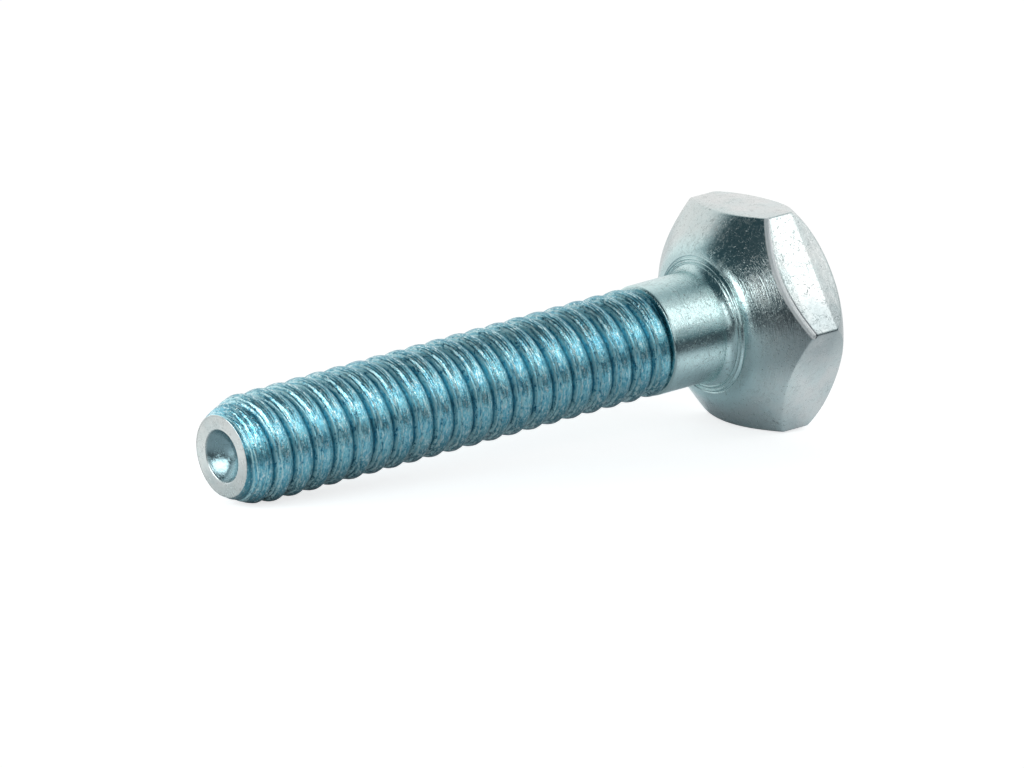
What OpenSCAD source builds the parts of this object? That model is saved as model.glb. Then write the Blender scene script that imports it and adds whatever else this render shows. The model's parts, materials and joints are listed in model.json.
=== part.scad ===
// Hex-head countersunk bolt: a right-hand #10-24 thread, a short plain shank, and a forged
// hexagonal head with a conical seat below and a raised, round-shouldered top. It lies on a
// table as it comes to rest: on the middle of one head flat's seat edge and on the first full
// thread at the tip. Millimetres, +Z up, origin on the table under the middle of the bolt.

/* [Thread] */
// major diameter over the thread crests
thread_d = 4.8; // [4.6:0.05:5.0]
// axial distance from one crest to the next
pitch = 1.058; // [0.9:0.002:1.1]
// height of a crest above the root
thread_depth = 0.48; // [0.4:0.01:0.55]
// from the tip face to the end of the plain shank
thread_len = 22.3; // [16:0.1:26]
// how far round the bolt the thread starts, from the side that lies down
start_angle = 216; // [0:12:348]

/* [Tip] */
// diameter of the flat tip face
tip_d = 3.6; // [3.2:0.05:3.8]
// length over which the first crests grow to full height
lead_len = 1.4; // [0.8:0.1:2]
// mouth diameter of the dimple that forming leaves in the tip face
dimple_d = 2.34; // [1.6:0.02:2.6]
// depth of the dimple
dimple_depth = 0.6; // [0.3:0.05:0.8]

/* [Shank] */
// diameter of the plain shank, just over the crests
shank_d = 4.84; // [4.84:0.02:5.1]
// length of the plain shank, up to the neck
shank_len = 2.72; // [1.5:0.02:6]
// diameter of the neck where the shank meets the seat
neck_d = 5.88; // [5.6:0.02:6.2]

/* [Head] */
// width across the flats
across_flats = 9.5; // [9:0.1:10.4]
// included angle of the conical seat
seat_angle = 100; // [90:1:110]
// height of the flats at the corners
flat_h = 1.24; // [0.8:0.02:2]
// rise of the top above the corners
raise_h = 1.3; // [0.9:0.02:1.6]
// diameter of the flat that is left on top
top_d = 6.8; // [6:0.1:7.4]
// lean of the top part of each flat
flat_lean = 6; // [2:1:10]

/* [Hidden] */

thread_r = thread_d / 2;
root_r = thread_r - thread_depth;
tip_r = tip_d / 2;
shank_r = shank_d / 2;
neck_r = neck_d / 2;
flat_r = across_flats / 2;
corner_r = flat_r / cos(30);

// Heights along the bolt, from the tip face.
shank_z = thread_len;
neck_z = shank_z + shank_len;
neck_fillet = neck_r - shank_r;
seat_z = neck_z + neck_fillet;
seat_slope = tan(seat_angle / 2);
// a narrow, nearly flat ledge lies between the neck and the seat's cone
ledge_w = 0.42;
ledge_rise = 0.12;
ledge_r = neck_r + ledge_w;
ledge_z = seat_z + ledge_rise;
corner_z = ledge_z + (corner_r - ledge_r) / seat_slope;
flat_foot_z = ledge_z + (flat_r - ledge_r) / seat_slope;
shoulder_z = corner_z + flat_h;
top_z = shoulder_z + raise_h;

// chamfer at the front of the shank
shank_edge = 0.12;
// thickness of the fine rings round the neck, and where they lie on the neck's arc
ring_d = 0.11;
ring_angles = [64, 84];
// the dimple is part of a ball of this radius
dimple_ball_r = (dimple_d * dimple_d / 4 + dimple_depth * dimple_depth) / (2 * dimple_depth);

// Thread form: distance along the pitch, and height as a share of the depth. The coat fills the
// bottom of the groove and rounds the crest, so that each turn stands out like a bead.
FORM = [[0, 0], [0.05, 0.04], [0.16, 0.55], [0.31, 0.88], [0.50, 1], [0.69, 0.88],
        [0.84, 0.55], [0.95, 0.04]];
SEGS = 30;
POINTS = len(FORM);
turns = ceil(thread_len / pitch);

// Radius allowed by the lead-in cone at height z.
function lead_r(z) = tip_r + (thread_r - tip_r) * z / lead_len;
// One point of the thread: i counts segments along the helix, k runs over FORM.
function thread_z(i, k) = pitch * (i / SEGS + FORM[k][0]);
function thread_point_r(i, k) = min(root_r + thread_depth * FORM[k][1], lead_r(thread_z(i, k)));
function thread_point(i, k) =
    let (a = start_angle + 360 * i / SEGS, r = thread_point_r(i, k))
    [r * cos(a), r * sin(a), thread_z(i, k)];
function ring_point(i, r, z) =
    let (a = start_angle + 360 * i / SEGS) [r * cos(a), r * sin(a), z];

// Rest: the table touches the middle of a flat's foot and the first crests. The axis rises
// towards the head by the least angle that keeps every crest on or above the table.
side_i = round(SEGS * (360 - start_angle) / 360);
crest_slopes = [for (turn = [0 : 4], k = [1 : POINTS - 1])
    let (i = side_i + turn * SEGS)
    (flat_r - thread_point_r(i, k)) / (flat_foot_z - thread_z(i, k))];
rest_tilt = atan(min(crest_slopes));
rest_lift = flat_r * cos(rest_tilt) - flat_foot_z * sin(rest_tilt);

// Shoulder of the top: an arc from the corners' upper ends to the flat top.
top_r = top_d / 2;
shoulder_dr = corner_r - top_r;
shoulder_arc = (shoulder_dr * shoulder_dr + raise_h * raise_h) / (2 * raise_h);
shoulder_start = asin(shoulder_dr / shoulder_arc);

// The bolt's reach along the table, for the origin under its middle.
reach_min = -tip_r * sin(rest_tilt);
reach_max = top_z * cos(rest_tilt) + top_r * sin(rest_tilt);

$fn = 96;

// The helical ridge and its root as one closed skin: a strip wound round the axis, closed by
// a ring at the tip face and another that ends inside the shank.
module thread() {
    count = SEGS * turns;
    strip = [for (i = [0 : count], k = [0 : POINTS - 1]) thread_point(i, k)];
    upper = [for (i = [count - SEGS + 1 : count])
        ring_point(i, root_r, pitch * (i / SEGS + 1))];
    tip_ring = [for (i = [1 : SEGS - 1]) ring_point(i, tip_r, 0)];
    end_ring = [for (i = [1 : SEGS - 1]) ring_point(i, root_r, pitch * (turns + 1))];
    upper_0 = len(strip);
    tip_0 = upper_0 + len(upper);
    end_0 = tip_0 + len(tip_ring);
    // index of a strip point, where the last form point runs on into the next turn
    function at(i, k) = k < POINTS ? i * POINTS + k
        : i + SEGS <= count ? (i + SEGS) * POINTS
        : upper_0 + i - (count - SEGS) - 1;
    function tip_at(i) = (i % SEGS == 0) ? 0 : tip_0 + i - 1;
    function end_at(i) = (i % SEGS == 0) ? tip_0 - 1 : end_0 + i - 1;
    skin = [for (i = [0 : count - 1], k = [0 : POINTS - 1], half = [0, 1])
        half == 0 ? [at(i, k), at(i, k + 1), at(i + 1, k + 1)]
                  : [at(i, k), at(i + 1, k + 1), at(i + 1, k)]];
    foot = [for (i = [0 : SEGS - 1], half = [0, 1]) if (half == 0 || i > 0)
        half == 0 ? [tip_at(i), at(i + 1, 0), tip_at(i + 1)]
                  : [tip_at(i), at(i, 0), at(i + 1, 0)]];
    crown = [for (i = [0 : SEGS - 1], half = [0, 1]) if (half == 0 || i < SEGS - 1)
        let (j = count - SEGS + i)
        half == 0 ? [at(j, POINTS), end_at(i), end_at(i + 1)]
                  : [at(j, POINTS), end_at(i + 1), at(j + 1, POINTS)]];
    first_face = [for (k = [POINTS : -1 : 0]) at(0, k)];
    last_face = [for (k = [0 : POINTS]) at(count, k)];
    tip_face = [for (i = [0 : SEGS - 1]) tip_at(i)];
    end_face = [for (i = [SEGS - 1 : -1 : 0]) end_at(i)];
    polyhedron(concat(strip, upper, tip_ring, end_ring),
        concat(skin, foot, crown, [first_face, last_face, tip_face, end_face]),
        convexity = 10);
}

// Point of the hollow arc that leads from the shank (0 degrees) into the seat (90 degrees).
function neck_point(a) =
    [neck_r - neck_fillet * cos(a), seat_z - neck_fillet + neck_fillet * sin(a)];

// Half section of shank, neck, seat and raised top, before the flats are cut.
module body_section() {
    neck_arc = [for (a = [0 : 15 : 90]) neck_point(a)];
    shoulder = [for (t = [0 : 1 / 8 : 1])
        let (a = shoulder_start * (1 - t))
        [top_r + shoulder_arc * sin(a), top_z - shoulder_arc * (1 - cos(a))]];
    polygon(concat(
        [[0, shank_z], [shank_r - shank_edge, shank_z], [shank_r, shank_z + shank_edge]],
        neck_arc,
        [[ledge_r, ledge_z], [corner_r, corner_z]],
        shoulder,
        [[0, top_z]]));
}

// Two fine raised rings that the forming die leaves round the neck.
module neck_rings() {
    for (a = ring_angles)
        rotate_extrude() translate(neck_point(a)) circle(d = ring_d, $fn = 16);
}

// Hexagonal envelope: upright flats whose top part leans in.
module flats() {
    difference() {
        cylinder(r = corner_r, h = top_z + 1, $fn = 6);
        for (side = [0 : 5]) rotate([0, 0, 60 * side + 30])
            translate([flat_r, 0, shoulder_z]) rotate([0, -flat_lean, 0])
                translate([0, -corner_r, 0]) cube([flat_r, 2 * corner_r, 2 * raise_h]);
    }
}

// Round dimple that forming leaves in the tip face.
module dimple() {
    translate([0, 0, dimple_depth - dimple_ball_r]) sphere(r = dimple_ball_r);
}

// The bolt standing on its tip, with a flat towards +X.
module upright() {
    difference() {
        union() {
            thread();
            intersection() {
                rotate_extrude() body_section();
                rotate([0, 0, 30]) flats();
            }
            neck_rings();
        }
        dimple();
    }
}

module bolt() {
    color([0.55, 0.68, 0.72])
        translate([-(reach_min + reach_max) / 2, 0, rest_lift])
            rotate([0, 90 - rest_tilt, 0]) upright();
}

bolt();
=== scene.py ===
"""Looks for the countersunk hex bolt, lying on a white table: one detailed mesh in place of the
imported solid, with bright zinc on the head and shank and a teal-blue coat on the thread. The
bolt's own sizes are in millimetres about its own axis, as in the part's source. All else is in
metres."""
import json
import math

import bmesh
import bpy
import numpy as np
from mathutils import Matrix, Vector


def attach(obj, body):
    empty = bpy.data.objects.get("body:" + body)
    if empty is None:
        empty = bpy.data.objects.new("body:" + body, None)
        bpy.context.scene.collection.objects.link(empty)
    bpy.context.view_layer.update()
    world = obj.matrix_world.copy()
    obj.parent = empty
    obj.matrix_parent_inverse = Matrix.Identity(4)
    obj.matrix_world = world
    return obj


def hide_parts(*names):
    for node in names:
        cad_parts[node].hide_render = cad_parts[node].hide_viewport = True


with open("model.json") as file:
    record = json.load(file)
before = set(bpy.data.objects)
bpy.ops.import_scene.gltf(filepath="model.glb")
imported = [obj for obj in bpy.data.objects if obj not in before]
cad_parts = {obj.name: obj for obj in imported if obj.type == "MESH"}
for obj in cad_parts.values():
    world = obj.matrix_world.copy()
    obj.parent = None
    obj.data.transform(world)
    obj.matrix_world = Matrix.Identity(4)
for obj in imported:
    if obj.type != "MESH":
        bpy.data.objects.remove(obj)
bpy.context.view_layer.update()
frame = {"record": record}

MM = 0.001
mounts = {mount["name"]: mount for mount in frame["record"]["mounts"]}
tip_point = Vector(mounts["thread"]["pos_m"])
bolt_axis = -Vector(mounts["thread"]["axis"]).normalized()

# ---------------------------- sizes in millimetres and angles in radians, as in the part's source
THREAD_R = mounts["thread"]["dims"]["r_mm"]
THREAD_LEN = mounts["thread"]["dims"]["length_mm"]
SHANK_R = mounts["shank"]["dims"]["r_mm"]
PITCH = 1.058
THREAD_DEPTH = 0.48
ROOT_R = THREAD_R - THREAD_DEPTH
START = math.radians(216)
TIP_R = 1.80
LEAD_LEN = 1.4
DIMPLE_R = 1.17
DIMPLE_DEPTH = 0.60
DIMPLE_BALL_R = (DIMPLE_R ** 2 + DIMPLE_DEPTH ** 2) / (2 * DIMPLE_DEPTH)
SHANK_EDGE = 0.12
SHANK_LEN = 2.72
NECK_R = 2.94
NECK_FILLET = NECK_R - SHANK_R
NECK_Z = THREAD_LEN + SHANK_LEN
SEAT_Z = NECK_Z + NECK_FILLET
LEDGE_W = 0.42
LEDGE_RISE = 0.12
LEDGE_R = NECK_R + LEDGE_W
LEDGE_Z = SEAT_Z + LEDGE_RISE
FLAT_R = 4.75
# angle from one flat to the next, and half of it
SIDE = math.pi / 3
HALF_SIDE = math.pi / 6
CORNER_R = FLAT_R / math.cos(HALF_SIDE)
SEAT_SLOPE = math.tan(math.radians(50))
CORNER_Z = LEDGE_Z + (CORNER_R - LEDGE_R) / SEAT_SLOPE
SHOULDER_Z = CORNER_Z + mounts["hex_drive"]["dims"]["length_mm"]
RAISE = 1.30
TOP_Z = SHOULDER_Z + RAISE
TOP_R = 3.4
SHOULDER_ARC = ((CORNER_R - TOP_R) ** 2 + RAISE ** 2) / (2 * RAISE)
FLAT_LEAN = math.tan(math.radians(6))

# ------------------------------------------------- finer shapes, which the solid leaves out
# radii of the rounded edges: between two flats, at a flat's foot, crease and upper end, between
# ledge and seat, and at the dimple's mouth
CORNER_ROUND = 0.14
FOOT_ROUND = 0.26
CREASE_ROUND = 0.9
CROWN_ROUND = 0.16
LEDGE_ROUND = 1.0
MOUTH_ROUND = 0.14
# two fine rings left by the forming die, and the groove beyond: radius, rise and width
NECK_RINGS = ((2.712, 0.065, 0.030), (2.886, 0.080, 0.032), (2.975, -0.055, 0.035))
# width of a turn's bead as a share of the pitch, and how full its sides are
BEAD_WIDTH = 0.97
BEAD_POWER = 0.85
# rolled lips and drag lines along the helix: place and width as shares of the pitch, and rise
# as a share of the thread's depth
THREAD_LINES = ((0.115, 0.036, 0.12), (0.195, 0.034, -0.13), (0.275, 0.034, 0.07),
                (0.37, 0.030, -0.05), (0.47, 0.028, -0.06), (0.57, 0.026, -0.04),
                (0.66, 0.030, -0.06), (0.85, 0.040, 0.06))
# their unevenness: waves per radian and phase, the sway of their place, and their mean and
# changing height
WAVES = ((5.3, 1.1), (8.9, 0.0), (13.7, 2.0))
LINE_SWAY = 0.012
LINE_HEIGHT = 0.65
LINE_SWING = 0.5
# the lead-in cone's fine ripples: rise, number per pitch, and where they start and are full
RIPPLE = 0.035
RIPPLES = 4.5
RIPPLE_FROM, RIPPLE_FULL = 0.05, 0.3
# how softly the lead-in cone cuts the crests
LEAD_SOFT = 0.03
# how far the thread's skin runs on inside the shank
THREAD_TUCK = 0.35
# the shank's end face: how far it reaches inside the thread's root and rises there, and the
# width of its flat rim
END_FACE_TUCK = 0.1
END_FACE_LIFT = 0.02
END_FACE_RIM = 0.35

# fineness of the mesh: points per turn and per pitch of the thread, points per flat of the head
# and how much closer these lie near its corners, and points along the round stretches
COLUMNS = 72
ROWS = 40
PER_FLAT = 28
CROWDING = 1.8
NECK_POINTS = 43
SHOULDER_POINTS = 15
BOWL_POINTS = 30
# the dimple's grid starts at this angle from the axis, and the top's ends at this distance
BOWL_START = 0.002
TOP_END = 1e-4
# in metres: points closer than this are welded, and edges shorter than this are dissolved
WELD = 2e-7
SHORTEST = 1e-8


# ---------------------------------------------------------------- mesh
def smooth_step(x, low, high):
    """0 below low, 1 above high, and a smooth rise between them."""
    t = np.clip((x - low) / (high - low), 0.0, 1.0)
    return t * t * (3 - 2 * t)


def thread_form(u, wander):
    """Height of the thread, 0 at the root and 1 at the crest, for u from 0 to 1 along a pitch."""
    from_crest = np.abs(u - 0.5) * 2
    bead = np.clip(1 - (from_crest / BEAD_WIDTH) ** 2, 0, 1) ** BEAD_POWER
    lines = 0.0
    for place, width, rise in THREAD_LINES:
        at = place + LINE_SWAY * wander
        height = rise * (LINE_HEIGHT + LINE_SWING * wander)
        lines = lines + height * np.exp(-((u - at) / width) ** 2)
    return np.clip(bead + lines, 0, 1)


def thread_points(turns):
    """Points of the helical skin: ROWS per pitch along the form, COLUMNS per turn."""
    turn = np.arange(-COLUMNS, COLUMNS * (turns - 1) + 1)[:, None] / COLUMNS
    u = (np.arange(ROWS) / ROWS)[None, :]
    z = PITCH * (turn + u)
    angle = START + 2 * np.pi * turn
    wander = sum(np.sin(rate * angle + phase) for rate, phase in WAVES) / len(WAVES)
    form = ROOT_R + THREAD_DEPTH * thread_form(u, wander)
    # the lead-in cone cuts the first crests, and takes the fine lines along a little
    lead = TIP_R + (THREAD_R - TIP_R) * np.clip(z, 0, None) / LEAD_LEN
    ripple = RIPPLE * np.cos(2 * np.pi * RIPPLES * (u + turn))
    cut = lead + ripple * smooth_step(z, RIPPLE_FROM, RIPPLE_FULL)
    r = -LEAD_SOFT * np.logaddexp(-form / LEAD_SOFT, -cut / LEAD_SOFT)
    r = np.where(z <= 0, TIP_R, np.minimum(r, THREAD_R))
    z = np.clip(z, 0.0, THREAD_LEN + THREAD_TUCK)
    return np.stack([r * np.cos(angle), r * np.sin(angle), z], -1).reshape(-1, 3)


def thread_quads(count):
    """Quads of the helical skin of count columns, and each corner's place along the pitch and
    the helix, for the coat's texture."""
    quads, forms = [], []
    for column in range(count - 1):
        for row in range(ROWS):
            here = column * ROWS + row
            above = here + 1
            if row + 1 == ROWS:
                # the form's last row joins the first row of the next turn
                above = (column + COLUMNS) * ROWS
                if column + 1 + COLUMNS >= count:
                    continue
            quads.append((here, here + ROWS, above + ROWS, above))
            low, high = row / ROWS, (row + 1) / ROWS
            near, far = column / COLUMNS, (column + 1) / COLUMNS
            forms.append(((low, near), (low, far), (high, far), (high, near)))
    return quads, forms


def revolve_grid(sections, angles):
    """sections[row][column] holds (r, z). Returns points and quads for a grid round the axis."""
    r, z = sections[..., 0], sections[..., 1]
    rows, columns = r.shape
    points = np.stack([r * np.cos(angles), r * np.sin(angles), z], -1).reshape(-1, 3)
    quads = []
    for row in range(rows - 1):
        for column in range(columns):
            here = row * columns + column
            beside = row * columns + (column + 1) % columns
            quads.append((here, beside, beside + columns, here + columns))
    return points, quads


def fillet(before, corner, after, radius, steps):
    """Points of an arc that rounds a corner of a polyline, shrunk where a side is short."""
    b, c, a = (np.array(p, float) for p in (before, corner, after))
    to_b, to_a = (b - c) / np.linalg.norm(b - c), (a - c) / np.linalg.norm(a - c)
    half = math.acos(max(-1.0, min(1.0, float(to_b @ to_a)))) / 2
    # an arc takes less than half of each side, so that two arcs never meet
    share = 0.48
    reach = min(radius / math.tan(half), share * np.linalg.norm(b - c),
                share * np.linalg.norm(a - c))
    radius = reach * math.tan(half)
    middle = c + (to_b + to_a) / np.linalg.norm(to_b + to_a) * radius / math.sin(half)
    first = math.atan2(*(c + to_b * reach - middle)[::-1])
    last = math.atan2(*(c + to_a * reach - middle)[::-1])
    turn = (last - first + math.pi) % (2 * math.pi) - math.pi
    return [tuple(middle + radius * np.array([math.cos(first + turn * t),
                                              math.sin(first + turn * t)]))
            for t in np.linspace(0, 1, steps + 1)]


def line(p, q, steps):
    """Points between p and q, without both ends."""
    return [(p[0] + (q[0] - p[0]) * t, p[1] + (q[1] - p[1]) * t)
            for t in np.linspace(0, 1, steps + 1)[1:-1]]


def hexagon(angle):
    """Distance of the flats from the axis at this angle, with rounded corners."""
    off_middle = abs((angle + HALF_SIDE) % SIDE - HALF_SIDE)
    off_corner = HALF_SIDE - off_middle
    centre = (FLAT_R - CORNER_ROUND) / math.cos(HALF_SIDE)
    tangent = math.atan2((FLAT_R - CORNER_ROUND) * math.tan(HALF_SIDE), FLAT_R)
    if off_middle <= tangent:
        return FLAT_R / math.cos(off_middle)
    return centre * math.cos(off_corner) + math.sqrt(
        max(CORNER_ROUND ** 2 - (centre * math.sin(off_corner)) ** 2, 0.0))


def shank_section():
    """From inside the shank's end face up to the ledge of the seat: (r, z) points."""
    inner = (SHANK_R - END_FACE_RIM, THREAD_LEN)
    end_face = [(ROOT_R - END_FACE_TUCK, THREAD_LEN + END_FACE_LIFT), inner]
    edge = fillet(inner, (SHANK_R, THREAD_LEN), (SHANK_R, NECK_Z), SHANK_EDGE, steps=8)
    body = line(edge[-1], (SHANK_R, NECK_Z), steps=20)
    neck = [(NECK_R - NECK_FILLET * math.cos(a), NECK_Z + NECK_FILLET * math.sin(a))
            for a in np.linspace(0, math.pi / 2, NECK_POINTS)]
    # the ledge ends where the round between it and the seat starts
    bend = math.atan(1 / SEAT_SLOPE) - math.atan2(LEDGE_RISE, LEDGE_W)
    share = 1 - LEDGE_ROUND * math.tan(bend / 2) / math.hypot(LEDGE_R - NECK_R, LEDGE_Z - SEAT_Z)
    ledge_end = (NECK_R + (LEDGE_R - NECK_R) * share, SEAT_Z + (LEDGE_Z - SEAT_Z) * share)
    ledge = line((NECK_R, SEAT_Z), ledge_end, steps=9)
    ringed = []
    for r, z in neck + ledge:
        lift = sum(rise * math.exp(-((r - at) / width) ** 2) for at, rise, width in NECK_RINGS)
        ringed.append((r, z - lift))
    return end_face + edge + body + ringed


def shoulder_r(z):
    """Distance of the top's rounded shoulder from the axis at height z."""
    below = TOP_Z - SHOULDER_ARC - z
    return TOP_R + math.sqrt(max(SHOULDER_ARC ** 2 - below ** 2, 0.0))


def leaning_r(reach, z):
    """Distance from the axis at height z of the part of a flat that leans in."""
    return reach * (1 - (z - SHOULDER_Z) * FLAT_LEAN / FLAT_R)


def crown_height(reach):
    """Height where the leaning part of a flat meets the shoulder, found by halving."""
    low, high = SHOULDER_Z, TOP_Z
    halvings = 40
    for _ in range(halvings):
        mid = (low + high) / 2
        if leaning_r(reach, mid) < shoulder_r(mid):
            low = mid
        else:
            high = mid
    return low


def head_section(angle):
    """From the ledge over seat, flat and shoulder to the top's centre: (r, z) points."""
    reach = hexagon(angle)
    ledge = (LEDGE_R, LEDGE_Z)
    foot = (reach, LEDGE_Z + (reach - LEDGE_R) / SEAT_SLOPE)
    crease = (reach, SHOULDER_Z)
    crown_z = crown_height(reach)
    crown = (leaning_r(reach, crown_z), crown_z)
    # a point a little further up the shoulder, for the direction beyond the crown
    step_up = 0.25
    above = (shoulder_r(crown_z + step_up), crown_z + step_up)

    hollow = fillet((NECK_R, SEAT_Z), ledge, foot, LEDGE_ROUND, steps=6)
    seat = hollow + line(hollow[-1], foot, steps=14)
    foot_round = fillet(seat[-1], foot, crease, FOOT_ROUND, steps=9)
    flat = line(foot_round[-1], crease, steps=9)
    bend = fillet(flat[-1], crease, crown, CREASE_ROUND, steps=4)
    lean = line(bend[-1], crown, steps=9)
    crown_round = fillet(lean[-1], crown, above, CROWN_ROUND, steps=6)
    past_top = (crown_round[-1][0] - TOP_R) / SHOULDER_ARC
    first = math.asin(min(1.0, max(0.0, past_top)))
    shoulder = [(TOP_R + SHOULDER_ARC * math.sin(a), TOP_Z - SHOULDER_ARC * (1 - math.cos(a)))
                for a in np.linspace(first, 0, SHOULDER_POINTS)[1:]]
    top = line((TOP_R, TOP_Z), (0.0, TOP_Z), steps=7) + [(TOP_END, TOP_Z)]
    return seat + foot_round + flat + bend + lean + crown_round + shoulder + top


def tip_section():
    """From the bottom of the round dimple over its mouth to the edge of the tip face."""
    centre_z = DIMPLE_DEPTH - DIMPLE_BALL_R
    widest = math.asin(DIMPLE_R / DIMPLE_BALL_R)
    bowl = [(DIMPLE_BALL_R * math.sin(a), centre_z + DIMPLE_BALL_R * math.cos(a))
            for a in np.linspace(BOWL_START, widest, BOWL_POINTS)]
    tip_edge = (TIP_R, 0.0)
    mouth = fillet(bowl[-3], bowl[-1], tip_edge, MOUTH_ROUND, steps=6)
    bowl = [p for p in bowl if p[0] < mouth[0][0]]
    face = line(mouth[-1], tip_edge, steps=9)
    return bowl + mouth + face + [tip_edge]


def corner_angles():
    """Angles round the head, closer together near the hexagon's corners."""
    t = np.linspace(-1, 1, PER_FLAT, endpoint=False)
    off_middle = np.sign(t) * (1 - (1 - np.abs(t)) ** CROWDING) * HALF_SIDE
    return np.concatenate([off_middle + side * SIDE for side in range(6)])


def build_mesh():
    """All surfaces of the bolt about its own axis, in one mesh: slot 0 zinc, slot 1 coat."""
    turns = math.ceil(THREAD_LEN / PITCH) + 1
    around = START + np.arange(COLUMNS) * 2 * math.pi / COLUMNS
    tip = np.repeat(np.array(tip_section())[:, None, :], COLUMNS, axis=1)
    angles = corner_angles()
    shank = np.repeat(np.array(shank_section())[:, None, :], len(angles), axis=1)
    head = np.array([head_section(angle) for angle in angles]).transpose(1, 0, 2)
    coat_points = thread_points(turns)
    coat_quads, forms = thread_quads(len(coat_points) // ROWS)
    tip_points, tip_quads = revolve_grid(tip, around[None, :])
    body_points, body_quads = revolve_grid(np.concatenate([shank, head]), angles[None, :])

    points = np.concatenate([coat_points, tip_points, body_points])
    faces = list(coat_quads)
    for base, quads in ((len(coat_points), tip_quads),
                        (len(coat_points) + len(tip_points), body_quads)):
        faces += [tuple(base + n for n in quad) for quad in quads]

    mesh = bpy.data.meshes.new("bolt_body")
    mesh.from_pydata((points * MM).tolist(), [], faces)
    slots = np.zeros(len(faces), np.int32)
    slots[:len(coat_quads)] = 1
    mesh.polygons.foreach_set("material_index", slots)
    # the place on the bolt in its own millimetres, for the materials
    spot = mesh.attributes.new("spot", "FLOAT_VECTOR", "POINT")
    spot.data.foreach_set("vector", points.astype(np.float32).ravel())
    layer = mesh.uv_layers.new(name="form")
    loops = np.zeros((len(mesh.loops), 2), np.float32)
    loops[:len(forms) * 4] = np.array(forms, np.float32).reshape(-1, 2)
    layer.data.foreach_set("uv", loops.ravel())

    bm = bmesh.new()
    bm.from_mesh(mesh)
    bmesh.ops.remove_doubles(bm, verts=bm.verts, dist=WELD)
    bmesh.ops.dissolve_degenerate(bm, edges=bm.edges, dist=SHORTEST)
    bmesh.ops.recalc_face_normals(bm, faces=bm.faces)
    bm.to_mesh(mesh)
    bm.free()
    mesh.shade_smooth()
    return mesh


# The bolt's own axis is local +Z, and the side that lies down is local +X.
down = Vector((0, 0, -1))
local_x = (down - bolt_axis * down.dot(bolt_axis)).normalized()
local_y = bolt_axis.cross(local_x)
to_row = Matrix((local_x, local_y, bolt_axis)).transposed().to_4x4()
to_row.translation = tip_point

mesh = build_mesh()
mesh.transform(to_row)
bolt = bpy.data.objects.new("bolt_body", mesh)
bpy.context.scene.collection.objects.link(bolt)


# ---------------------------------------------------------------- materials
class Nodes:
    """Short calls for building a node tree."""

    def __init__(self, tree):
        self.tree = tree

    def put(self, value, socket):
        """Links a node's output to a socket, or sets a constant on it."""
        if isinstance(value, bpy.types.NodeSocket):
            self.tree.links.new(value, socket)
        else:
            socket.default_value = value

    def add(self, kind, inputs=None, **settings):
        node = self.tree.nodes.new(kind)
        for key, value in settings.items():
            setattr(node, key, value)
        for key, value in (inputs or {}).items():
            self.put(value, node.inputs[key])
        return node

    def math(self, operation, a, b=0.0):
        return self.add("ShaderNodeMath", {0: a, 1: b}, operation=operation).outputs[0]

    def plus(self, a, b):
        return self.math("ADD", a, b)

    def minus(self, a, b):
        return self.math("SUBTRACT", a, b)

    def times(self, a, b):
        return self.math("MULTIPLY", a, b)

    def most(self, a, b):
        return self.math("MAXIMUM", a, b)

    def gap(self, a, b):
        """The difference of two numbers, without its sign."""
        return self.math("ABSOLUTE", self.minus(a, b))

    def split(self, vector):
        return self.add("ShaderNodeSeparateXYZ", {0: vector}).outputs

    def scaled(self, vector, scale):
        inputs = {0: vector, 1: scale}
        return self.add("ShaderNodeVectorMath", inputs, operation="MULTIPLY").outputs[0]

    def measure(self, operation, *vectors):
        """A number from one or two vectors: their LENGTH, DISTANCE or DOT_PRODUCT."""
        inputs = dict(enumerate(vectors))
        return self.add("ShaderNodeVectorMath", inputs, operation=operation).outputs["Value"]

    def noise(self, vector, scale=1.0, detail=3.0, rough=0.6, distort=0.0):
        inputs = {"Vector": vector, "Scale": scale, "Detail": detail, "Roughness": rough,
                  "Distortion": distort}
        return self.add("ShaderNodeTexNoise", inputs).outputs[0]

    def span(self, value, low, high, to_low=0.0, to_high=1.0):
        """A smooth step from to_low to to_high while value goes from low to high."""
        inputs = {0: value, 1: low, 2: high, 3: to_low, 4: to_high}
        return self.add("ShaderNodeMapRange", inputs, interpolation_type="SMOOTHSTEP").outputs[0]

    def mix(self, share, a, b):
        node = self.add("ShaderNodeMix", data_type="RGBA")
        for value, socket in ((share, 0), (a, 6), (b, 7)):
            self.put(value, node.inputs[socket])
        return node.outputs[2]

    def layered(self, base, *layers):
        """Colours laid over a base one after another, each as (share, colour)."""
        for share, colour in layers:
            base = self.mix(share, base, colour)
        return base

    def bumps(self, *layers):
        """A normal from bumps laid over one another, each as (height, strength, millimetres)."""
        normal = None
        for height, strength, depth in layers:
            inputs = {"Height": height, "Strength": strength, "Distance": depth * MM}
            if normal is not None:
                inputs["Normal"] = normal
            normal = self.add("ShaderNodeBump", inputs).outputs[0]
        return normal

    def tinted(self, level, red_power):
        """Grey of this level, the darker the more teal."""
        blue_power = 0.93
        inputs = {0: self.math("POWER", level, red_power), 1: level,
                  2: self.math("POWER", level, blue_power)}
        return self.add("ShaderNodeCombineColor", inputs).outputs[0]


def new_material(name):
    """A material, its node calls and its main shader."""
    material = bpy.data.materials.new(name)
    material.use_nodes = True
    return material, Nodes(material.node_tree), material.node_tree.nodes["Principled BSDF"]


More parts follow.
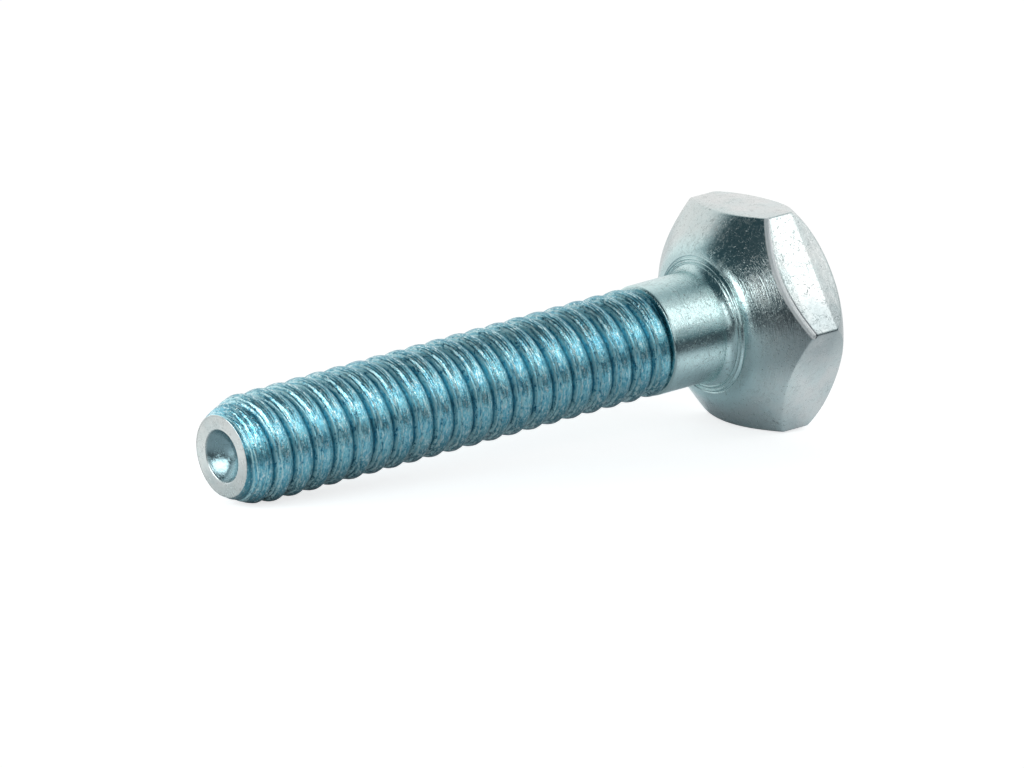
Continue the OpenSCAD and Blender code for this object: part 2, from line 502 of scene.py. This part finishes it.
# the zinc's colours
SHANK_ZINC = (0.62, 0.80, 0.80, 1)
CONE_ZINC = (0.61, 0.67, 0.66, 1)
FLAT_ZINC = (0.68, 0.70, 0.69, 1)
TIP_ZINC = (0.75, 0.78, 0.76, 1)
CLOUD = (0.50, 0.66, 0.67, 1)
STAIN = (0.40, 0.44, 0.42, 1)
PIT = (0.16, 0.18, 0.18, 1)
SCRATCH = (0.22, 0.24, 0.23, 1)
# a dull, darker patch about the corner below the bright flat
CORNER_DARK = (0.33, 0.38, 0.39, 1)
# painted shade: a dark line beside the bright flat's edge
SHADE_LINE = (0.10, 0.11, 0.12, 1)
# painted highlight: a white rim along the bright flat's edge
RIM_HIGHLIGHT = (0.96, 0.98, 0.98, 1)
# painted shade inside the dimple
DIMPLE_SHADE = (0.26, 0.41, 0.45, 1)
# millimetres along the bolt, or from its axis at the dimple's wall, over which one look gives
# way to the next
CONE_BLEND = (SEAT_Z, SEAT_Z + 0.8)
FLAT_BLEND = (CORNER_Z - 0.6, CORNER_Z + 0.3)
FLATS_START = (CORNER_Z - 0.3, CORNER_Z + 0.3)
TIP_FACE = (0.6, 0.1)
DIMPLE_WALL = (DIMPLE_R + 0.04, DIMPLE_R - 0.08)
DIMPLE_END = (1.0, 0.9)
# the flat that the key lamp meets faces this way from the bolt's own axis, and a dull, darker
# patch lies about the corner below it, from where it sets in to where it is full
BRIGHT_FLAT = (math.cos(math.radians(240)), math.sin(math.radians(240)), 0.0)
CORNER_DARK_MIDDLE = (0.0, -CORNER_R, SHOULDER_Z - 0.6)
CORNER_DARK_REACH = (3.0, 0.6)
# that flat's edge to the seat: how far out it is, the band of painted highlight and the line of
# painted shade beside it as heights over the seat, and the painted shade's fading away from the
# corner
EDGE_OUT = (FLAT_R - 0.16, FLAT_R - 0.11)
RIM_FULL, RIM_END = 0.11, 0.15
SHADE_LINE_FULL, SHADE_LINE_END = 0.19, 0.24
SHADE_LINE_FADE = (4.5, 1.0)


def bright_edge(n, spot, along, axis_far, from_corner):
    """Shares of the painted highlight and of the painted shade line on the bright flat's edge to
    the seat.
    """
    on_flat = n.span(n.measure("DOT_PRODUCT", spot, BRIGHT_FLAT), *EDGE_OUT)
    seat_rise = n.math("DIVIDE", n.minus(axis_far, LEDGE_R), SEAT_SLOPE)
    above_seat = n.minus(n.minus(along, LEDGE_Z), seat_rise)
    rim_highlight = n.times(on_flat, n.span(above_seat, RIM_END, RIM_FULL))
    beside = n.times(on_flat, n.span(above_seat, RIM_FULL, RIM_END))
    fading = n.times(n.span(above_seat, SHADE_LINE_END, SHADE_LINE_FULL),
                     n.span(from_corner, *SHADE_LINE_FADE, 0.25, 0.95))
    return rim_highlight, n.times(beside, fading)


def bright_zinc():
    """Bright zinc with wear: blue-green where it is drawn smooth, warmer and pitted on the flats,
    with painted highlight and painted shade on the bright flat's edge and painted shade in the
    dimple.
    """
    material, n, shader = new_material("bright_zinc")
    spot = n.add("ShaderNodeAttribute", attribute_name="spot").outputs["Vector"]
    along = n.split(spot)[2]
    axis_far = n.measure("LENGTH", n.scaled(spot, (1.0, 1.0, 0.0)))
    from_corner = n.measure("DISTANCE", spot, CORNER_DARK_MIDDLE)
    cloud = n.noise(spot, scale=0.9, rough=0.55)
    grain = n.noise(spot, scale=9.0, rough=0.75)
    brushed = n.noise(n.scaled(spot, (1.6, 1.6, 30.0)))
    stain = n.span(n.noise(spot, scale=1.7, detail=5.0, rough=0.7, distort=1.2), 0.50, 0.72)
    pits = n.span(n.noise(spot, scale=3.2, rough=0.65, distort=0.6), 0.66, 0.74)
    # hairline scratches: thin level lines of a soft noise, broken up by a finer one
    level = n.gap(n.noise(spot, scale=2.6, detail=2.0, rough=0.5, distort=0.8), 0.5)
    hairs = n.times(n.span(level, 0.012, 0.003), n.span(grain, 0.45, 0.60))

    flats = n.span(along, *FLATS_START)
    tip_face = n.span(along, *TIP_FACE)
    in_dimple = n.times(n.span(axis_far, *DIMPLE_WALL), n.span(along, *DIMPLE_END))
    mark_share = n.minus(0.55, n.times(flats, 0.30))
    corner_dark = n.times(n.span(from_corner, *CORNER_DARK_REACH), n.span(cloud, 0.2, 0.6, 0.45, 0.75))
    rim_highlight, shade_line = bright_edge(n, spot, along, axis_far, from_corner)
    base = n.layered(
        SHANK_ZINC,
        (n.span(along, *CONE_BLEND), CONE_ZINC),
        (n.span(along, *FLAT_BLEND), FLAT_ZINC),
        (tip_face, TIP_ZINC),
        (n.times(n.span(cloud, 0.35, 0.70), 0.35), CLOUD),
        (n.times(stain, 0.30), STAIN),
        (n.times(pits, mark_share), PIT),
        (n.times(hairs, mark_share), SCRATCH),
        (corner_dark, CORNER_DARK),
        # painted shade line beside the bright flat's edge
        (shade_line, SHADE_LINE),
        # painted highlight along the bright flat's edge
        (rim_highlight, RIM_HIGHLIGHT),
        # painted shade inside the dimple
        (n.times(in_dimple, 0.9), DIMPLE_SHADE))
    n.put(base, shader.inputs["Base Color"])
    # the tip face and the edge with the painted highlight are dull enough to show their own
    # colour
    face_matt = n.times(n.times(tip_face, n.minus(1.0, in_dimple)), 0.5)
    matt = n.most(face_matt, n.times(rim_highlight, 0.85))
    n.put(n.minus(1.0, matt), shader.inputs["Metallic"])
    rough = n.plus(n.span(grain, 0.3, 0.7, 0.16, 0.27), n.times(stain, 0.12))
    n.put(rough, shader.inputs["Roughness"])
    normal = n.bumps(
        (cloud, 0.30, 0.05),
        (grain, n.minus(0.15, n.times(flats, 0.05)), 0.02),
        (brushed, n.minus(0.55, n.times(flats, 0.45)), 0.02),
        (n.times(n.most(pits, hairs), -1.0), 0.3, 0.02))
    n.put(normal, shader.inputs["Normal"])
    return material


# the coat's colours
COAT_PALE = (0.30, 0.76, 0.88, 1)
COAT_DEEP = (0.20, 0.64, 0.82, 1)
LIGHT_STREAK = (0.48, 0.92, 1.0, 1)
DARK_STREAK = (0.03, 0.24, 0.38, 1)
# painted shade on the head side of each turn
HEAD_SIDE_SHADE = (0.03, 0.24, 0.33, 1)
# painted shade in the groove between turns
GROOVE_SHADE = (0.02, 0.15, 0.22, 1)
# painted shade along the bottom and top of the thread
THREAD_EDGE_SHADE = (0.04, 0.16, 0.20, 1)
DARK_GRAIN = (0.04, 0.26, 0.38, 1)
BARE_LIP = (0.60, 0.95, 1.0, 1)
BARE_SPECK = (0.78, 0.98, 1.0, 1)
# millimetres from the axis towards the side that lies down, over which painted shade sets in,
# below and on top
SHADE_BELOW = (0.6, 2.2)
SHADE_ON_TOP = (-1.75, -2.2)
# bare lips beside the groove: place and half width as shares of the pitch, and their wandering
BARE_LIPS = ((0.10, 0.050), (0.235, 0.030))
LIP_WANDER = 0.10


def bare_lips(n, spot, u):
    """Share of bare zinc on the rolled lips beside the groove."""
    wander = n.times(n.minus(n.noise(spot, scale=1.6, detail=2.0), 0.5), LIP_WANDER)
    share = 0.0
    for place, half_width in BARE_LIPS:
        off = n.gap(n.plus(u, wander), place)
        share = n.most(share, n.span(off, half_width, 0.3 * half_width))
    return share


def blue_coat():
    """Teal thread coat over zinc, streaked along the thread and rubbed bright on the crests, with
    painted shade on each turn's head side, in the grooves and towards the bottom and top.
    """
    material, n, shader = new_material("blue_thread_coat")
    spot = n.add("ShaderNodeAttribute", attribute_name="spot").outputs["Vector"]
    form = n.add("ShaderNodeUVMap", uv_map="form").outputs[0]
    u = n.split(form)[0]
    from_crest = n.times(n.gap(u, 0.5), 2.0)
    to_table = n.split(spot)[0]
    streak = n.noise(n.scaled(spot, (1.0, 1.0, 8.0)), detail=4.0, rough=0.75)
    fine = n.noise(n.scaled(spot, (3.6, 3.6, 14.0)), rough=0.75)
    grain = n.noise(spot, scale=9.0, rough=0.8)
    cloud = n.noise(spot, scale=1.1)

    # painted shade: darker towards the side that lies down, and towards the top
    edge_shade = n.most(n.span(to_table, *SHADE_BELOW, 0.0, 0.85),
                   n.span(to_table, *SHADE_ON_TOP, 0.0, 0.45))
    lips = n.times(bare_lips(n, spot, u), n.span(fine, 0.36, 0.50))
    specks = n.most(n.times(n.span(from_crest, 0.80, 0.50), n.span(fine, 0.55, 0.61)),
                    n.times(n.span(grain, 0.56, 0.64), 0.6))
    base = n.layered(
        COAT_PALE,
        (n.span(cloud, 0.3, 0.7), COAT_DEEP),
        (n.times(n.span(streak, 0.50, 0.62), 0.8), LIGHT_STREAK),
        (n.times(n.span(fine, 0.46, 0.36), 0.8), DARK_STREAK),
        # painted shade on the head side of each turn
        (n.times(n.span(u, 0.55, 0.90), 0.75), HEAD_SIDE_SHADE),
        # painted shade in the groove between turns
        (n.times(n.span(from_crest, 0.86, 0.98), 0.65), GROOVE_SHADE),
        # painted shade along the bottom and top of the thread
        (edge_shade, THREAD_EDGE_SHADE),
        (n.times(n.span(grain, 0.44, 0.36), 0.4), DARK_GRAIN),
        (n.times(lips, 0.9), BARE_LIP),
        (specks, BARE_SPECK))
    n.put(base, shader.inputs["Base Color"])
    n.put(n.minus(0.85, n.times(lips, 0.45)), shader.inputs["Metallic"])
    n.put(n.span(grain, 0.3, 0.7, 0.12, 0.24), shader.inputs["Roughness"])
    n.put(0.2, shader.inputs["Coat Weight"])
    n.put(0.15, shader.inputs["Coat Roughness"])
    normal = n.bumps((grain, 0.35, 0.02), (streak, 0.45, 0.05), (fine, 0.45, 0.05))
    n.put(normal, shader.inputs["Normal"])
    return material


mesh.materials.append(bright_zinc())
mesh.materials.append(blue_coat())
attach(bolt, "root")
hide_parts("bolt")


# ---------------------------------------------------------------- view
# In the picture the bolt's axis runs to the right, a little up, and away from the viewer: its
# shares to the right and away give the camera's heading and height.
AXIS_RIGHT = 0.7975
AXIS_AWAY = 0.562
# one pixel at the bolt, and the tip's place left of and below the picture's middle in pixels
PIXEL = 0.04225 * MM
TIP_LEFT_PX = 290.4
TIP_BELOW_PX = 72.4
# lens and sensor in millimetres: a long lens, because lines hardly draw together
LENS = 1000.0
SENSOR = 36.0
WIDTH_PX = 1024

flat_share = math.hypot(bolt_axis.x, bolt_axis.y)
azimuth = -math.acos(AXIS_RIGHT / flat_share)
away_share = -math.sin(azimuth) * flat_share
elevation = (math.acos(AXIS_AWAY / math.hypot(away_share, bolt_axis.z))
             - math.atan2(bolt_axis.z, away_share))
right = Vector((math.cos(azimuth), math.sin(azimuth), 0))
forward = Vector((-math.sin(azimuth) * math.cos(elevation),
                  math.cos(azimuth) * math.cos(elevation), -math.sin(elevation)))
up = right.cross(forward)

distance = WIDTH_PX * PIXEL * LENS / SENSOR
centre = tip_point + right * (TIP_LEFT_PX * PIXEL) + up * (TIP_BELOW_PX * PIXEL)
camera_data = bpy.data.cameras.new("camera")
camera_data.lens = LENS
camera_data.sensor_width = SENSOR
camera_data.clip_start = 0.05
camera_data.clip_end = 20.0
camera = bpy.data.objects.new("camera", camera_data)
camera.matrix_world = Matrix((right, up, -forward)).transposed().to_4x4()
camera.location = centre - forward * distance
bpy.context.scene.collection.objects.link(camera)
bpy.context.scene.camera = camera


def seen_from_camera(to_right, to_up, to_viewer):
    """A direction given as right, up and toward the viewer, for the placing of lamps."""
    return (right * to_right + up * to_up - forward * to_viewer).normalized()


# ---------------------------------------------------------------- table and light
WHITE = (1, 1, 1, 1)
SHEET_GREY = (0.60, 0.60, 0.60, 1)
ROOM_GREY = (0.05, 0.05, 0.05, 1)
TABLE_HALF = 1.5
# the backdrop starts and is full where a direction has these shares away from the viewer
BACKDROP = (-0.05, 0.33)
ROOM_LEVEL = 0.06
# the lit sheet under the bolt: its oval, where it starts to fade and ends, and how near the
# bolt darkens it
SHEET_OVAL = (1.0, 1.5, 1.0)
SHEET = (13 * MM, 26 * MM)
SHADE_REACH = 9 * MM
# where it brightens towards the head, along x and from the front along y, and where it dims
# again past the head, along x
HEAD_FROM_TIP = (7.5 * MM, 11.5 * MM)
HEAD_FROM_FRONT = (-11 * MM, -4 * MM)
HEAD_TO_END = (13 * MM, 17 * MM)
# a bright patch beyond the tip, which the tip face mirrors
PATCH_MIDDLE = (-20.5 * MM, 8.0 * MM, 0)
PATCH_REACH = (6.5 * MM, 3 * MM)
# how much more the sheet glows to the camera: less than none, so that the bolt's shadow shows
SHEET_GLOW = -0.27


def seen_rays(n):
    """Two sockets: 1 for camera rays, and 1 for glossy and transmission rays."""
    path = n.add("ShaderNodeLightPath").outputs
    mirrored = n.most(path["Is Glossy Ray"], path["Is Transmission Ray"])
    return path["Is Camera Ray"], mirrored


def mirrored_table(n, place, sheet):
    """Level that the table has in mirror images: lit near the bolt and under its head, and
    farther off fading into the backdrop behind and the dark room in front."""
    x, y, _ = n.split(place)
    open_sky = n.add("ShaderNodeAmbientOcclusion", {"Distance": SHADE_REACH}, samples=8)
    under_head = n.times(n.span(x, *HEAD_FROM_TIP, 0.15, 0.95),
                         n.span(y, *HEAD_FROM_FRONT, 0.50, 1.0))
    under_head = n.times(under_head, n.span(x, *HEAD_TO_END, 1.0, 0.55))
    lit = n.times(n.math("POWER", open_sky.outputs["AO"], 1.5), under_head)
    patch = n.span(n.measure("DISTANCE", place, PATCH_MIDDLE), *PATCH_REACH, 0.0, 0.75)
    near_level = n.plus(n.times(sheet, lit), patch)
    outward = n.add("ShaderNodeVectorMath", {0: place}, operation="NORMALIZE").outputs[0]
    beyond = n.span(n.measure("DOT_PRODUCT", outward, forward), *BACKDROP, 0.03, 0.8)
    return n.plus(near_level, n.times(n.minus(1.0, sheet), beyond))


def white_table():
    """Matt sheet that keeps the bolt's shadow, and a glow of its own: white to the camera, and
    as mirrored_table says in mirror images."""
    material, n, shader = new_material("white_table")
    camera_ray, mirrored = seen_rays(n)
    place = n.add("ShaderNodeNewGeometry").outputs["Position"]
    sheet = n.span(n.measure("LENGTH", n.scaled(place, SHEET_OVAL)), *SHEET, 1.0, 0.0)
    n.put(n.mix(sheet, ROOM_GREY, SHEET_GREY), shader.inputs["Base Color"])
    n.put(0.9, shader.inputs["Roughness"])
    n.put(0.0, shader.inputs["Specular IOR Level"])
    shown = n.plus(1.0, n.times(sheet, SHEET_GLOW))
    strength = n.plus(n.times(camera_ray, shown), mirrored)
    level = mirrored_table(n, place, sheet)
    colour = n.mix(camera_ray, n.tinted(level, red_power=1.10), WHITE)
    glow = n.add("ShaderNodeEmission", {"Color": colour, "Strength": strength})
    both = n.add("ShaderNodeAddShader", {0: shader.outputs[0], 1: glow.outputs[0]})
    n.put(both.outputs[0], n.tree.nodes["Material Output"].inputs[0])
    return material


floor_mesh = bpy.data.meshes.new("table")
floor_mesh.from_pydata([(x * TABLE_HALF, y * TABLE_HALF, 0)
                        for x, y in ((-1, -1), (1, -1), (1, 1), (-1, 1))], [], [(0, 1, 2, 3)])
floor_mesh.materials.append(white_table())
floor = bpy.data.objects.new("table", floor_mesh)
bpy.context.scene.collection.objects.link(floor)


def softbox(name, target, direction, reach, along, length, width, radiance):
    """A rectangular lamp in this direction from a point, that looks as bright as radiance."""
    data = bpy.data.lights.new(name, "AREA")
    data.shape = "RECTANGLE"
    data.size = length
    data.size_y = width
    data.energy = radiance * math.pi * length * width
    lamp = bpy.data.objects.new(name, data)
    across = direction.cross(along).normalized()
    along = across.cross(direction)
    lamp.matrix_world = Matrix((along, across, direction)).transposed().to_4x4()
    lamp.location = target + direction * reach
    bpy.context.scene.collection.objects.link(lamp)


# middle of the bolt, and how far off the large lamps are
bolt_middle = Vector((0, 0, 4 * MM))
LAMP_REACH = 0.6
KEY_ALONG = seen_from_camera(0.52, -0.70, 0.49)
softbox("key", bolt_middle, seen_from_camera(0.745, 0.605, 0.28), LAMP_REACH,
        along=KEY_ALONG, length=0.38, width=0.19, radiance=1.15)
softbox("strip", bolt_middle, seen_from_camera(-0.57, 0.03, 0.82), LAMP_REACH,
        along=seen_from_camera(0.1, 1.0, 0.0), length=0.14, width=0.035, radiance=2.2)
# for the rounded edges, the rings and the tip side of each turn
softbox("edge", bolt_middle, seen_from_camera(0.30, 0.40, 0.87), LAMP_REACH,
        along=seen_from_camera(-0.31, 0.86, -0.40), length=0.25, width=0.16, radiance=1.8)
# a small card near the tip, for the dimple
softbox("card", tip_point, seen_from_camera(-0.78, 0.27, 0.55), 22 * MM,
        along=seen_from_camera(0.5, 0.0, 0.85), length=25 * MM, width=15 * MM, radiance=3.6)

# a soft oval panel about the key lamp: which way it is, where its middle lies along it, and half
# its length and width
PANEL = seen_from_camera(0.70, 0.665, 0.25)
PANEL_ACROSS = PANEL.cross(KEY_ALONG).normalized()
PANEL_SHIFT = 0.05
PANEL_HALF_LENGTH = 0.83
PANEL_HALF_WIDTH = 0.41
# a weak round panel about the viewer, and where it fades and is full
FILL = seen_from_camera(0.28, 0.15, 0.95)
FILL_EDGE = (0.85, 0.95)
# the backdrop's dimmer part overhead
OVERHEAD = (0.55, 0.92)


def studio_world():
    """A white backdrop beyond the bolt, a dark room on the viewer's side and two soft panels."""
    world = bpy.data.worlds.new("studio")
    bpy.context.scene.world = world
    world.use_nodes = True
    n = Nodes(world.node_tree)
    background = world.node_tree.nodes["Background"]
    ray = n.add("ShaderNodeTexCoord").outputs["Generated"]

    def facing(direction):
        return n.measure("DOT_PRODUCT", ray, direction)

    backdrop = n.times(n.span(facing(forward), *BACKDROP),
                       n.span(facing(Vector((0, 0, 1))), *OVERHEAD, 1.0, 0.55))
    along = n.math("DIVIDE", n.minus(facing(KEY_ALONG), PANEL_SHIFT), PANEL_HALF_LENGTH)
    across = n.math("DIVIDE", facing(PANEL_ACROSS), PANEL_HALF_WIDTH)
    oval = n.plus(n.times(along, along), n.times(across, across))
    panel = n.times(n.span(oval, 1.0, 0.15), n.span(facing(PANEL), 0.0, 0.1))
    fill = n.span(facing(FILL), *FILL_EDGE, 0.0, 0.85)
    level = n.most(n.most(backdrop, ROOM_LEVEL), n.most(panel, fill))
    camera_ray, _ = seen_rays(n)
    n.put(n.mix(camera_ray, n.tinted(level, red_power=1.30), WHITE), background.inputs["Color"])
    n.put(1.0, background.inputs["Strength"])


studio_world()
bpy.context.scene.view_settings.view_transform = "Standard"
